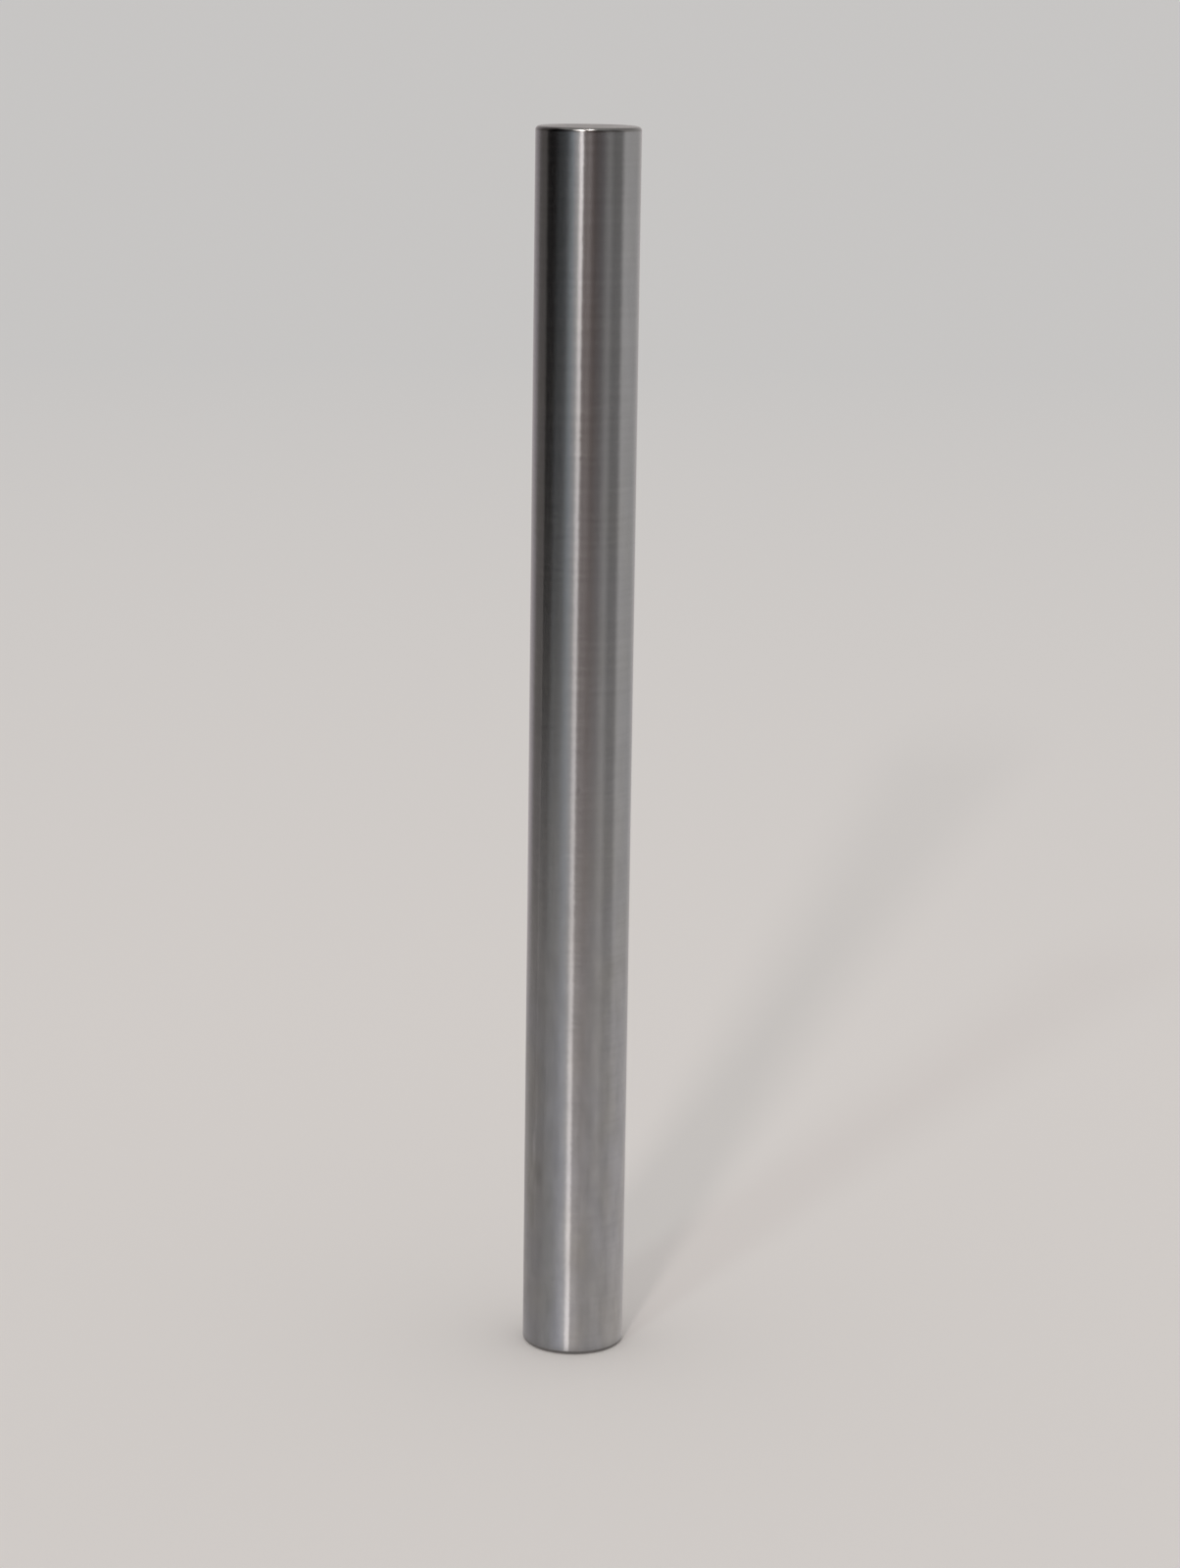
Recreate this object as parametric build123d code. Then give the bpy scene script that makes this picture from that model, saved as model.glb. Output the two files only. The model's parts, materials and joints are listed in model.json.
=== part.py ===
from build123d import *
import os

# Linear shaft: one hardened steel rod, ground to its guide diameter, with the edge of each end rounded.
# It stands on its lower end face. Lengths are in millimetres. The origin is the centre of that
# face, and +Z runs up the shaft's axis.

# Driving dimensions
shaft_diameter = 12.7  # ground guide diameter, half an inch
shaft_length = 152.4  # from end face to end face, six inches
edge_radius = 0.5  # rounds each end from the guide diameter into its face

# Sizes that follow from them
shaft_radius = shaft_diameter / 2


def half_section():
    """Half of the lengthwise section, from the axis to the guide diameter, with its outer corners rounded."""
    with BuildSketch(Plane.XZ) as section:
        Rectangle(shaft_radius, shaft_length, align=(Align.MIN, Align.MIN))
        outer_corners = section.vertices().group_by(Axis.X)[-1]
        fillet(outer_corners, radius=edge_radius)
    return section.sketch


def linear_shaft():
    """The shaft, turned from its half section about its own axis."""
    return revolve(half_section(), axis=Axis.Z)


os.makedirs("parts", exist_ok=True)
export_step(linear_shaft(), "parts/linear_shaft.step")
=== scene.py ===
import json
import math

import bpy
from mathutils import Matrix, Vector


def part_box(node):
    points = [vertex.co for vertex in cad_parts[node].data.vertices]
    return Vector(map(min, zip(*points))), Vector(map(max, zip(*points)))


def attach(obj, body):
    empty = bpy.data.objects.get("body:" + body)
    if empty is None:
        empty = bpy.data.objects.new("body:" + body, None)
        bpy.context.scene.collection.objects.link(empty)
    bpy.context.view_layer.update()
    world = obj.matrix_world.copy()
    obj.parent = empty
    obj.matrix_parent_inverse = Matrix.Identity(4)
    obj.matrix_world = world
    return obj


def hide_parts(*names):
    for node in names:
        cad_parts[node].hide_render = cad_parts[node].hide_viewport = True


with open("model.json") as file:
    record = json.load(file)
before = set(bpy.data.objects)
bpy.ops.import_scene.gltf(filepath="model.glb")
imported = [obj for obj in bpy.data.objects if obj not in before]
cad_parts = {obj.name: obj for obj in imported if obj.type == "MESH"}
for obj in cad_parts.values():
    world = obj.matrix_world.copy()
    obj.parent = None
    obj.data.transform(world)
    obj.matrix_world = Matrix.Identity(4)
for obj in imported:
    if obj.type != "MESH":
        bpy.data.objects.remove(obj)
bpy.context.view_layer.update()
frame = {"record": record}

# Lengths are in metres. The camera stands on the -Y side. Degrees round the shaft start there and grow to
# the camera's right.
MM = 0.001

# The shaft's sizes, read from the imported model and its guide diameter
shaft_low, shaft_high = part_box("linear_shaft")
guide = next(m for m in frame["record"]["mounts"] if m["name"] == "guide_diameter")
SHAFT_RADIUS = guide["dims"]["r_mm"] * MM
SHAFT_LENGTH = shaft_high.z - shaft_low.z
EDGE_RADIUS = (SHAFT_LENGTH - guide["dims"]["length_mm"] * MM) / 2
FACE_RADIUS = SHAFT_RADIUS - EDGE_RADIUS

# The shaft's finer forms
SEGMENTS = 256  # facets round the shaft
GUIDE_RINGS = 48  # spans along the ground diameter
EDGE_STEPS = 16  # spans round the edge of an end
FACING_PITCH = 0.28 * MM  # feed of the tool that faced the ends
FACING_DEPTH = 0.003 * MM  # depth of one facing groove
FACING_STEPS = 4  # spans across one facing groove

# The order of the shaft's materials
GROUND, ROUNDED, FACED = range(3)

# Finishes: brightness and roughness, each from its low end to its high end
GROUND_BRIGHTNESS = (0.515, 0.545)
GROUND_ROUGHNESS = (0.24, 0.26)
# The rounded edges are darker than the ground steel: painted shade that darkens the line round both ends'
# edges.
ROUNDED_SHADED_BRIGHTNESS = (0.36, 0.44)
ROUNDED_ROUGHNESS = (0.16, 0.22)
FACED_BRIGHTNESS = (0.50, 0.66)
FACED_ROUGHNESS = (0.26, 0.36)
TURNED_TINT = (0.97, 0.94)  # green and blue, as shares of red
GROUND_ANISOTROPY = 1
TURNED_ANISOTROPY = 0.7
QUARTER_TURN = 0.25  # turns the stretch of reflections from round the axis to along it, or out from it

# The ground steel's patterns: scales per metre across the axis and along it, and detail
MARKS = (60, 1700, 2)
WAVES = (600, 1700, 2)
MOTTLE = (700, 230, 2)
HUE = (260, 110, 1)
WAVE_DEPTH = 0.018 * MM

# The turned steel's patterns: scale per metre and detail
RINGS = (2200, 3)
SPOTS = (900, 4)
SPOT_GAINS = (0.94, 1.06)

# Spans of a noise's values: where most of them lie, and where nearly all of them do
NOISE_SPAN = (0.3, 0.7)
WIDE_NOISE_SPAN = (0.25, 0.75)

# The film that handling leaves on the lower part: the heights over which it thins, and its share above them
FILM_HEIGHTS = (30 * MM, 80 * MM)
FILM_ABOVE = 0.35
# What it does to brightness and roughness, from its dull places to its clear ones
FILM_GAINS = (0.92, 1.08)
FILM_ROUGHNESS = (0.01, -0.01)
# Green and blue as shares of red, from its cool places to its warm ones
FILM_GREEN = (1.0, 0.98)
FILM_BLUE = (1.03, 0.94)

# Blemishes: degrees round the shaft, height, half width and half height
LIGHT_SMEAR = (-54, 26.4 * MM, 0.4 * MM, 3.0 * MM)
DARK_SMEAR = (-46, 23.4 * MM, 0.9 * MM, 2.2 * MM)
BROWN_SMEAR = (-52, 20.5 * MM, 3 * MM, 6 * MM)
NICK = (-1.5, 73 * MM, 0.3 * MM, 0.5 * MM)
# What three of them do to brightness at their centres. The brown one warms the colour.
LIGHT_SMEAR_GAIN = 1.35
DARK_SMEAR_GAIN = 0.84
NICK_GAIN = 0.75

# The camera, from the photograph's outline of the shaft
CAMERA_DISTANCE = 441.9 * MM  # in front of the shaft's axis
CAMERA_HEIGHT = 170.1 * MM
CAMERA_TILT = math.radians(12.472)  # downwards
CAMERA_PAN = math.radians(0.161)  # to the right
CAMERA_ROLL = math.radians(0.810)  # leans the shaft's top to the right
CAMERA_FOCAL_PIXELS = 3740
IMAGE_HEIGHT_PIXELS = 1600
SENSOR_SIZE = 36  # mm, along the image's long side
CAMERA_CLIP = (0.01, 200)  # m, the nearest and farthest that it sees

# The stage
FLOOR_RINGS = (0.4, 40.0)  # m, the fine middle of the floor and its far edge
FLOOR_SEGMENTS = 64
# The floor's colour is painted lighter near the shaft and darker further out: a painted pool of light round
# the shaft, fading to painted shade.
FLOOR_PAINTED_LIGHT_NEAR = (0.86, 0.825, 0.80, 1)
FLOOR_PAINTED_SHADE_FAR = (0.77, 0.765, 0.76, 1)
FLOOR_PAINTED_FALLOFF = (0.15, 1.2)  # m from the shaft, from the near colour to the far one
CARD_RADIUS = 190 * MM  # from the shaft's axis
CARD_HEIGHT = 420 * MM
CARD_STEP_DEG = 2
CARD_LIFT = 0.05 * MM  # of a lying card, off the floor
LAMP_RADIUS = 0.98 * CARD_RADIUS

# Tints of what the shaft mirrors
NEUTRAL = (1, 0.98, 0.98)
COOL = (1, 1.10, 1.18)
PALE = (1, 0.95, 0.94)
ROSY = (1, 0.92, 0.95)
WARM = (1, 0.78, 0.74)
BROWN = (1, 0.92, 0.89)
VIOLET = (1, 0.98, 1.03)

# What the shaft mirrors from all round it: degrees, glow, tint, and the height and gain of the lower edge
SURROUND = (
    (-188, 0.56, PALE, 0, 1.2),
    (-147, 0.34, ROSY, 0, 1.5),
    (-134, 0.25, ROSY, 2 * MM, 1.5),
    (-123, 0.12, BROWN, 4 * MM, 1.6),
    (-101, 0.095, BROWN, 4 * MM, 1.6),
    (-96, 0.002, NEUTRAL, 16 * MM, 12),
    (-76, 0.002, NEUTRAL, 16 * MM, 12),
    (-57, 0.032, COOL, 26 * MM, 2),
    (-46, 0.070, COOL, 26 * MM, 1.6),
    (-33, 0.265, COOL, 14 * MM, 1.2),
    (-22, 0.40, NEUTRAL, 0, 1),
    (-18, 0.66, PALE, 0, 1),
    (-11.3, 0.64, PALE, 0, 1),
    (-9.8, 0.14, WARM, 0, 0.9),
    (6, 0.135, WARM, 0, 1.1),
    (16, 0.075, WARM, 12 * MM, 2.6),
    (32, 0.11, ROSY, 16 * MM, 2.1),
    (48, 0.27, NEUTRAL, 18 * MM, 1.4),
    (60, 0.185, NEUTRAL, 6 * MM, 1.1),
    (77, 0.185, NEUTRAL, 0, 1.3),
    (88, 0.50, NEUTRAL, 0, 1),
    (130, 0.42, NEUTRAL, 0, 1),
    (172, 0.58, PALE, 0, 1),
)
# Heights further up, and gains there
SURROUND_LEVELS = ((135 * MM, 1), (165 * MM, 1), (260 * MM, 0.65), (CARD_HEIGHT, 0.5))

# The floor that the shaft mirrors: degrees, glow and tint
GROUND_GLOW = (
    (-180, 0.42, PALE),
    (-128, 0.345, PALE),
    (-89, 0.315, PALE),
    (-60, 0.36, NEUTRAL),
    (-44, 0.42, VIOLET),
    (-29, 0.565, VIOLET),
    (-21.5, 0.66, NEUTRAL),
    (-16.8, 1.26, PALE),
    (-10, 1.40, PALE),
    (-7.6, 0.64, PALE),
    (0, 0.63, PALE),
    (12, 0.505, PALE),
    (32, 0.44, PALE),
    (60, 0.475, PALE),
    (89, 0.50, PALE),
    (128, 0.53, PALE),
    (180, 0.58, PALE),
)
REAR_STRIP = ((-3.5, 1.30, PALE), (3.5, 1.30, PALE))  # the same, from straight behind the shaft
# Distances from the shaft along that floor: right beside it with one even glow, further out with gains
FOOT_REACHES = ((-EDGE_RADIUS, 0.215), (0.7 * MM, 0.285))
GROUND_REACHES = ((2.2 * MM, 1.04), (40 * MM, 1), (CARD_RADIUS, 0.94))

# Lamps in front of the surround: name, first and last degrees, glow at each, lower and upper edge
LAMPS = (
    ("card_key_lamp", -18, -11.3, 4.2, 4.2, 190 * MM, 300 * MM),
    ("card_high_fill", -42, -22, 0.5, 12, 330 * MM, CARD_HEIGHT),
    ("card_high_lamp", -22, -12, 15, 15, 330 * MM, CARD_HEIGHT),
    ("card_rear_lamp", 176.5, 183.5, 1.6, 1.6, 0, 145 * MM),
)

# The level card above the shaft: its reach in X and in Y, and its glow
OVERHEAD_SIDES = (-6 * MM, 28 * MM)
OVERHEAD_ENDS = (-250 * MM, -60 * MM)
OVERHEAD_GLOW = 8

# Suns: name, degrees round the shaft, degrees up, strength, softness in degrees, colour
SUNS = (
    ("key_sun", -13, 21.5, 0.75, 5, (1.0, 0.93, 0.90)),
    ("fill_sun", -27, 35, 0.22, 6, (0.85, 1.0, 1.0)),
)

# The sky: its even daylight, and its glow in reflections from the horizon up
DAYLIGHT = (0.62, 0.61, 0.605, 1)
SKY_GLOW = (0.52, 0.30)
SKY_RISE = (0.12, 0.42)  # how far up, as the sine of the elevation


def add_node(tree, kind, inputs=None, **settings):
    """A new node with its settings made. Each input, by name or number, is set, or linked to an output."""
    node = tree.nodes.new(kind)
    for name, value in settings.items():
        setattr(node, name, value)
    for key, value in (inputs or {}).items():
        if isinstance(value, bpy.types.NodeSocket):
            tree.links.new(value, node.inputs[key])
        else:
            node.inputs[key].default_value = value
    return node


def new_material(name):
    """A new material, and its node tree with no nodes in it yet."""
    material = bpy.data.materials.new(name)
    material.use_nodes = True
    material.node_tree.nodes.clear()
    return material, material.node_tree


def surface(tree, shader):
    """Sends a shader's first output to the material's surface."""
    add_node(tree, "ShaderNodeOutputMaterial", {"Surface": shader.outputs[0]})


def new_object(name, mesh):
    made = bpy.data.objects.new(name, mesh)
    bpy.context.scene.collection.objects.link(made)
    return made


def faced_end():
    """The lower end face from its centre to its edge, with the fine grooves that facing leaves in it."""
    grooves = round(FACE_RADIUS / FACING_PITCH)
    pitch = FACE_RADIUS / grooves
    points = []
    for step in range(grooves * FACING_STEPS):
        radius = pitch * step / FACING_STEPS
        turn = 2 * math.pi * radius / pitch
        depth = FACING_DEPTH * (1 - math.cos(turn)) / 2
        slope = FACING_DEPTH * math.pi / pitch * math.sin(turn)
        length = math.hypot(slope, 1)
        points.append((radius, depth, (slope / length, -1 / length)))
    return points


def rounded_edge():
    """The lower end's edge, from its face round to the ground diameter: (radius, height, normal) points."""
    points = []
    for step in range(EDGE_STEPS + 1):
        angle = math.radians(90) * (step / EDGE_STEPS - 1)
        normal = (math.cos(angle), math.sin(angle))
        points.append((FACE_RADIUS + EDGE_RADIUS * normal[0], EDGE_RADIUS * (1 + normal[1]), normal))
    return points


def shaft_profile():
    """The whole profile from axis to axis, and the finish of each span of it."""
    face, edge = faced_end(), rounded_edge()
    lower = face + edge
    upper = [(r, SHAFT_LENGTH - z, (n[0], -n[1])) for r, z, n in reversed(lower)]
    middle = []
    for ring in range(1, GUIDE_RINGS):
        height = EDGE_RADIUS + (SHAFT_LENGTH - 2 * EDGE_RADIUS) * ring / GUIDE_RINGS
        middle.append((SHAFT_RADIUS, height, (1, 0)))
    end = [FACED] * len(face) + [ROUNDED] * EDGE_STEPS
    return lower + middle + upper, end + [GROUND] * GUIDE_RINGS + end[::-1]


def lathe(name, profile, span_finishes):
    """A closed mesh turned from a profile that starts and ends on the axis."""
    vertices, normals, rings = [], [], []
    for radius, height, normal in profile:
        ring = []
        count = 1 if radius == 0 else SEGMENTS
        for segment in range(count):
            angle = 2 * math.pi * segment / SEGMENTS
            ring.append(len(vertices))
            vertices.append((radius * math.cos(angle), radius * math.sin(angle), height))
            if count == 1:
                normals.append((0, 0, normal[1]))
            else:
                normals.append((normal[0] * math.cos(angle), normal[0] * math.sin(angle), normal[1]))
        rings.append(ring)
    faces, finishes = [], []
    for index in range(len(rings) - 1):
        below, above = rings[index], rings[index + 1]
        for segment in range(SEGMENTS):
            following = (segment + 1) % SEGMENTS
            if len(below) == 1:
                faces.append((below[0], above[following], above[segment]))
            elif len(above) == 1:
                faces.append((below[segment], below[following], above[0]))
            else:
                faces.append((below[segment], below[following], above[following], above[segment]))
            finishes.append(span_finishes[index])
    mesh = bpy.data.meshes.new(name)
    mesh.from_pydata(vertices, [], faces)
    mesh.polygons.foreach_set("material_index", finishes)
    mesh.shade_smooth()
    mesh.normals_split_custom_set_from_vertices(normals)
    mesh.validate()
    return new_object(name, mesh)


def stretched_noise(tree, place, across, along, detail):
    """Noise with its own scales across and along the shaft's axis."""
    stretch = add_node(tree, "ShaderNodeMapping", {"Vector": place, "Scale": (across, across, along)})
    noise = add_node(tree, "ShaderNodeTexNoise",
                     {"Vector": stretch.outputs["Vector"], "Scale": 1, "Detail": detail})
    return noise.outputs["Fac"]


def ranged(tree, value, to_span, from_span=(0, 1)):
    """A value moved from one span to another, and kept within it."""
    node = add_node(tree, "ShaderNodeMapRange", {
        "Value": value, "From Min": from_span[0], "From Max": from_span[1],
        "To Min": to_span[0], "To Max": to_span[1]})
    return node.outputs["Result"]


def maths(tree, operation, first, second):
    return add_node(tree, "ShaderNodeMath", {0: first, 1: second}, operation=operation).outputs["Value"]


def vector_maths(tree, operation, first, second):
    node = add_node(tree, "ShaderNodeVectorMath", {0: first, 1: second}, operation=operation)
    return node.outputs["Vector"]


def length_of(tree, vector):
    return add_node(tree, "ShaderNodeVectorMath", {0: vector}, operation="LENGTH").outputs["Value"]


def blemish(tree, place, turn_deg, height, half_width, half_height):
    """One at a point of the ground diameter, falling to nothing at an ellipse round it."""
    turn = math.radians(turn_deg)
    centre = (SHAFT_RADIUS * math.sin(turn), -SHAFT_RADIUS * math.cos(turn), height)
    offset = vector_maths(tree, "SUBTRACT", place, centre)
    scaled = vector_maths(tree, "DIVIDE", offset, (half_width, half_width, half_height))
    return ranged(tree, length_of(tree, scaled), (1, 0))


def mixed_colour(tree, share, first, second):
    """A colour that goes from the first to the second as the share goes from 0 to 1. A Mix node's sockets
    share their names, so those for colours are given by number."""
    return add_node(tree, "ShaderNodeMix", {0: share, 6: first, 7: second}, data_type="RGBA").outputs[2]


def steel_tint(tree, bright, green, blue):
    """A steel's colour from its brightness, with its shares of green and blue."""
    parts = {"Red": bright, "Green": maths(tree, "MULTIPLY", bright, green),
             "Blue": maths(tree, "MULTIPLY", bright, blue)}
    return add_node(tree, "ShaderNodeCombineColor", parts).outputs["Color"]


def ground_steel():
    """Ground steel: fine marks run round the shaft, so its reflections draw out along it, and faint waves
    unsettle their edges. A thin film of handling lies on its lower part, with a few smears, and there is a
    nick half way up."""
    material, tree = new_material("ground_steel")
    place = add_node(tree, "ShaderNodeTexCoord").outputs["Object"]
    height = add_node(tree, "ShaderNodeSeparateXYZ", {"Vector": place}).outputs["Z"]
    marks = stretched_noise(tree, place, *MARKS)
    waves = stretched_noise(tree, place, *WAVES)
    mottle = stretched_noise(tree, place, *MOTTLE)
    hue = stretched_noise(tree, place, *HUE)
    either_way = (-1, 1)
    handled = ranged(tree, height, (1, FILM_ABOVE), FILM_HEIGHTS)
    film = maths(tree, "MULTIPLY", ranged(tree, mottle, either_way, WIDE_NOISE_SPAN), handled)
    warmth = maths(tree, "MULTIPLY", ranged(tree, hue, either_way, WIDE_NOISE_SPAN), handled)
    warmth = maths(tree, "ADD", warmth, blemish(tree, place, *BROWN_SMEAR))
    gains = (
        ranged(tree, film, FILM_GAINS, either_way),
        ranged(tree, blemish(tree, place, *LIGHT_SMEAR), (1, LIGHT_SMEAR_GAIN)),
        ranged(tree, blemish(tree, place, *DARK_SMEAR), (1, DARK_SMEAR_GAIN)),
        ranged(tree, blemish(tree, place, *NICK), (1, NICK_GAIN)),
    )
    bright = ranged(tree, marks, GROUND_BRIGHTNESS, NOISE_SPAN)
    for gain in gains:
        bright = maths(tree, "MULTIPLY", bright, gain)
    green = ranged(tree, warmth, FILM_GREEN, either_way)
    blue = ranged(tree, warmth, FILM_BLUE, either_way)
    rough = ranged(tree, marks, GROUND_ROUGHNESS, NOISE_SPAN)
    rough = maths(tree, "ADD", rough, ranged(tree, film, FILM_ROUGHNESS, either_way))
    bump = add_node(tree, "ShaderNodeBump", {"Height": waves, "Strength": 1, "Distance": WAVE_DEPTH})
    shader = add_node(tree, "ShaderNodeBsdfPrincipled", {
        "Base Color": steel_tint(tree, bright, green, blue), "Metallic": 1, "Roughness": rough,
        "Anisotropic": GROUND_ANISOTROPY, "Anisotropic Rotation": QUARTER_TURN,
        "Normal": bump.outputs["Normal"]})
    surface(tree, shader)
    return material


def turned_steel(name, brightness, roughness):
    """Turned steel, with fine rings about the axis and faint spots."""
    material, tree = new_material(name)
    place = add_node(tree, "ShaderNodeTexCoord").outputs["Object"]
    radius = length_of(tree, vector_maths(tree, "MULTIPLY", place, (1, 1, 0)))
    rings = add_node(tree, "ShaderNodeTexNoise", {"W": radius, "Scale": RINGS[0], "Detail": RINGS[1]},
                     noise_dimensions="1D").outputs["Fac"]
    spots = add_node(tree, "ShaderNodeTexNoise",
                     {"Vector": place, "Scale": SPOTS[0], "Detail": SPOTS[1]}).outputs["Fac"]
    bright = maths(tree, "MULTIPLY", ranged(tree, rings, brightness, NOISE_SPAN),
                   ranged(tree, spots, SPOT_GAINS, NOISE_SPAN))
    shader = add_node(tree, "ShaderNodeBsdfPrincipled", {
        "Base Color": steel_tint(tree, bright, *TURNED_TINT), "Metallic": 1,
        "Roughness": ranged(tree, rings, roughness, NOISE_SPAN),
        "Anisotropic": TURNED_ANISOTROPY, "Anisotropic Rotation": QUARTER_TURN})
    surface(tree, shader)
    return material


def make_shaft():
    profile, span_finishes = shaft_profile()
    shaft = lathe("ground_shaft", profile, span_finishes)
    shaft.data.materials.append(ground_steel())
    # The rounded edges' darker brightness is painted shade on the lines round both ends.
    shaft.data.materials.append(turned_steel("rounded_steel", ROUNDED_SHADED_BRIGHTNESS, ROUNDED_ROUGHNESS))
    shaft.data.materials.append(turned_steel("faced_steel", FACED_BRIGHTNESS, FACED_ROUGHNESS))
    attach(shaft, "root")
    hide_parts("linear_shaft")


def make_floor():
    """A pale floor at the shaft's foot: a fine middle and a wide rim, so that no edge shows. Its colour is
    painted lighter near the shaft and darker further out, as a painted pool of light.
    """
    vertices, faces = [(0, 0, 0)], []
    for ring, radius in enumerate(FLOOR_RINGS):
        outer = len(vertices)
        inner = outer - FLOOR_SEGMENTS
        for segment in range(FLOOR_SEGMENTS):
            angle = 2 * math.pi * segment / FLOOR_SEGMENTS
            vertices.append((radius * math.cos(angle), radius * math.sin(angle), 0))
        for segment in range(FLOOR_SEGMENTS):
            following = (segment + 1) % FLOOR_SEGMENTS
            if ring == 0:
                faces.append((0, outer + segment, outer + following))
            else:
                faces.append((inner + segment, outer + segment, outer + following, inner + following))
    mesh = bpy.data.meshes.new("floor")
    mesh.from_pydata(vertices, [], faces)
    floor = new_object("floor", mesh)
    material, tree = new_material("floor_white")
    place = add_node(tree, "ShaderNodeTexCoord").outputs["Object"]
    # Painted light: the floor's colour is lighter near the shaft and darker far from it.
    painted_falloff = ranged(tree, length_of(tree, place), (0, 1), FLOOR_PAINTED_FALLOFF)
    shader = add_node(tree, "ShaderNodeBsdfPrincipled", {
        "Base Color": mixed_colour(tree, painted_falloff, FLOOR_PAINTED_LIGHT_NEAR, FLOOR_PAINTED_SHADE_FAR), "Roughness": 1,
        "Specular IOR Level": 0})
    surface(tree, shader)
    floor.data.materials.append(material)


def make_glow(name, sampling):
    """A material for cards, which glow in their own colours."""
    material, tree = new_material(name)
    colour = add_node(tree, "ShaderNodeAttribute", attribute_name="glow")
    surface(tree, add_node(tree, "ShaderNodeEmission", {"Color": colour.outputs["Color"]}))
    material.cycles.emission_sampling = sampling
    return material


def glowing_card(name, grid, colours, glow):
    """A card that shows only in reflections, from columns of points and the glow of each point."""
    vertices = [point for column in grid for point in column]
    rows = len(grid[0])
    faces = []
    for column in range(len(grid) - 1):
        for row in range(rows - 1):
            corner = column * rows + row
            faces.append((corner, corner + 1, corner + rows + 1, corner + rows))
    mesh = bpy.data.meshes.new(name)
    mesh.from_pydata(vertices, [], faces)
    values = [part for colour in colours for part in (*colour, 1)]
    mesh.attributes.new("glow", "FLOAT_COLOR", "POINT").data.foreach_set("color", values)
    card = new_object(name, mesh)
    card.data.materials.append(glow)
    card.visible_camera = False
    card.visible_diffuse = False
    card.visible_shadow = False
    card.visible_transmission = False


def tinted(level, tint):
    return [level * part for part in tint]


def graded(stops):
    """Small steps from stop to stop: the angle, and the values of the stops on either side mixed there."""
    for before, after in zip(stops, stops[1:]):
        count = math.ceil((after[0] - before[0]) / CARD_STEP_DEG)
        for step in range(count + 1):
            share = step / count
            mixed = [a + (b - a) * share for a, b in zip(before, after)]
            yield math.radians(mixed[0]), mixed[1:]


def make_surround(glow):
    """A card that curves right round the shaft, with the tones that the shaft mirrors."""
    stops = []
    for degrees, level, tint, low, low_gain in SURROUND:
        stops.append((degrees, low, low_gain, *tinted(level, tint)))
    grid, colours = [], []
    for turn, (low, low_gain, *colour) in graded(stops):
        levels = ((low, low_gain), *SURROUND_LEVELS)
        x, y = CARD_RADIUS * math.sin(turn), -CARD_RADIUS * math.cos(turn)
        grid.append([(x, y, height) for height, gain in levels])
        colours += [tinted(gain, colour) for height, gain in levels]
    glowing_card("card_surround", grid, colours, glow)


def make_ground_glow(glow, name, tones, facing, lift):
    """A card on the floor with the tones that the shaft's lower part mirrors, facing the camera (1) or away
    from it (-1). It fans out along the mirrored rays, so a tone stays at one share of the shaft's width."""
    stops = [(degrees, *tinted(level, tint)) for degrees, level, tint in tones]
    distances = [reach[0] for reach in FOOT_REACHES + GROUND_REACHES]
    grid, colours = [], []
    for turn, colour in graded(stops):
        column = []
        for distance in distances:
            x = SHAFT_RADIUS * math.sin(turn / 2) + distance * math.sin(turn)
            y = -SHAFT_RADIUS * math.cos(turn / 2) - distance * math.cos(turn)
            column.append((facing * x, facing * y, lift))
        grid.append(column)
        colours += [tinted(level, PALE) for distance, level in FOOT_REACHES]
        colours += [tinted(gain, colour) for distance, gain in GROUND_REACHES]
    glowing_card(name, grid, colours, glow)


def make_lamp(glow, name, start_deg, stop_deg, start_level, stop_level, low, high):
    """A bright card in front of the surround."""
    grid, colours = [], []
    for turn, (level,) in graded(((start_deg, start_level), (stop_deg, stop_level))):
        x, y = LAMP_RADIUS * math.sin(turn), -LAMP_RADIUS * math.cos(turn)
        grid.append([(x, y, low), (x, y, high)])
        colours += [tinted(level, PALE)] * 2
    glowing_card(name, grid, colours, glow)


def make_overhead(glow):
    """A bright level card above the shaft, which glints on its upper edge."""
    grid = [[(x, y, CARD_HEIGHT) for y in OVERHEAD_ENDS] for x in OVERHEAD_SIDES]
    glowing_card("card_overhead", grid, [tinted(OVERHEAD_GLOW, PALE)] * 4, glow)


def make_cards():
    wide_glow = make_glow("wide_glow", "NONE")
    make_surround(wide_glow)
    make_ground_glow(wide_glow, "card_ground", GROUND_GLOW, 1, CARD_LIFT)
    make_ground_glow(wide_glow, "card_rear_strip", REAR_STRIP, -1, 2 * CARD_LIFT)
    lamp_glow = make_glow("lamp_glow", "AUTO")
    for lamp in LAMPS:
        make_lamp(lamp_glow, *lamp)
    make_overhead(lamp_glow)


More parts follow.
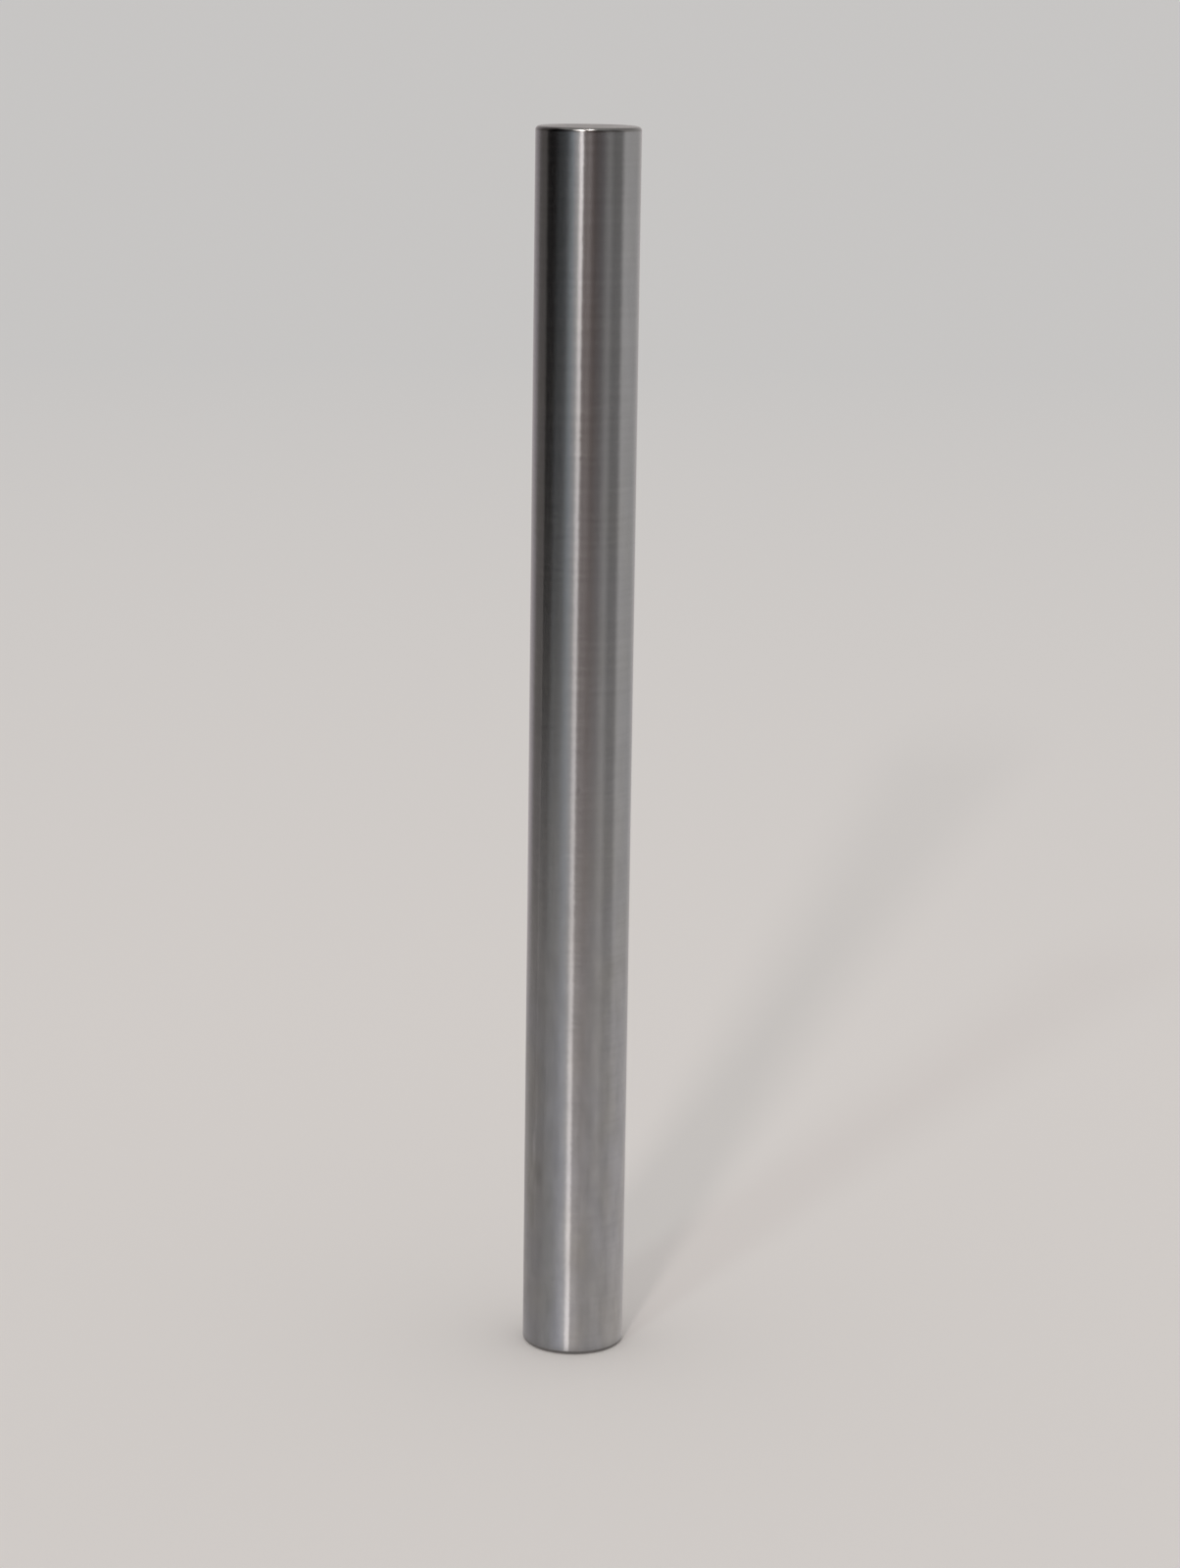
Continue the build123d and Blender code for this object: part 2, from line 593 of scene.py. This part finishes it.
def make_world():
    """Pale, even light. Reflections of the sky darken towards the zenith."""
    world = bpy.data.worlds.new("studio")
    bpy.context.scene.world = world
    world.use_nodes = True
    tree = world.node_tree
    tree.nodes.clear()
    place = add_node(tree, "ShaderNodeTexCoord").outputs["Generated"]
    height = add_node(tree, "ShaderNodeSeparateXYZ", {"Vector": place}).outputs["Z"]
    sky = ranged(tree, height, SKY_GLOW, SKY_RISE)
    grey = add_node(tree, "ShaderNodeCombineColor", {"Red": sky, "Green": sky, "Blue": sky})
    mirrored = add_node(tree, "ShaderNodeLightPath").outputs["Is Glossy Ray"]
    colour = mixed_colour(tree, mirrored, DAYLIGHT, grey.outputs["Color"])
    background = add_node(tree, "ShaderNodeBackground", {"Color": colour})
    add_node(tree, "ShaderNodeOutputWorld", {"Surface": background.outputs["Background"]})


def make_sun(name, azimuth_deg, elevation_deg, strength, softness_deg, colour):
    light = bpy.data.lights.new(name, "SUN")
    light.energy = strength
    light.color = colour
    light.angle = math.radians(softness_deg)
    sun = new_object(name, light)
    azimuth, elevation = math.radians(azimuth_deg), math.radians(elevation_deg)
    towards = Vector((math.sin(azimuth) * math.cos(elevation), -math.cos(azimuth) * math.cos(elevation),
                      math.sin(elevation)))
    sun.rotation_mode = "QUATERNION"
    sun.rotation_quaternion = towards.to_track_quat("Z", "Y")
    sun.visible_glossy = False


def make_camera():
    """The photograph's camera: level pan, downward tilt, then roll about the line of sight."""
    forward = Vector((math.sin(CAMERA_PAN) * math.cos(CAMERA_TILT),
                      math.cos(CAMERA_PAN) * math.cos(CAMERA_TILT), -math.sin(CAMERA_TILT)))
    right = forward.cross(Vector((0, 0, 1))).normalized()
    up = right.cross(forward)
    rolled_right = right * math.cos(CAMERA_ROLL) + up * math.sin(CAMERA_ROLL)
    rolled_up = up * math.cos(CAMERA_ROLL) - right * math.sin(CAMERA_ROLL)
    lens = bpy.data.cameras.new("camera")
    lens.sensor_width = SENSOR_SIZE
    lens.lens = CAMERA_FOCAL_PIXELS / IMAGE_HEIGHT_PIXELS * SENSOR_SIZE
    lens.clip_start, lens.clip_end = CAMERA_CLIP
    camera = new_object("camera", lens)
    axes = Matrix((rolled_right, rolled_up, -forward)).transposed().to_4x4()
    camera.matrix_world = Matrix.Translation((0, -CAMERA_DISTANCE, CAMERA_HEIGHT)) @ axes
    bpy.context.scene.camera = camera


make_shaft()
make_floor()
make_cards()
make_world()
for sun in SUNS:
    make_sun(*sun)
make_camera()
bpy.context.scene.view_settings.view_transform = "Standard"
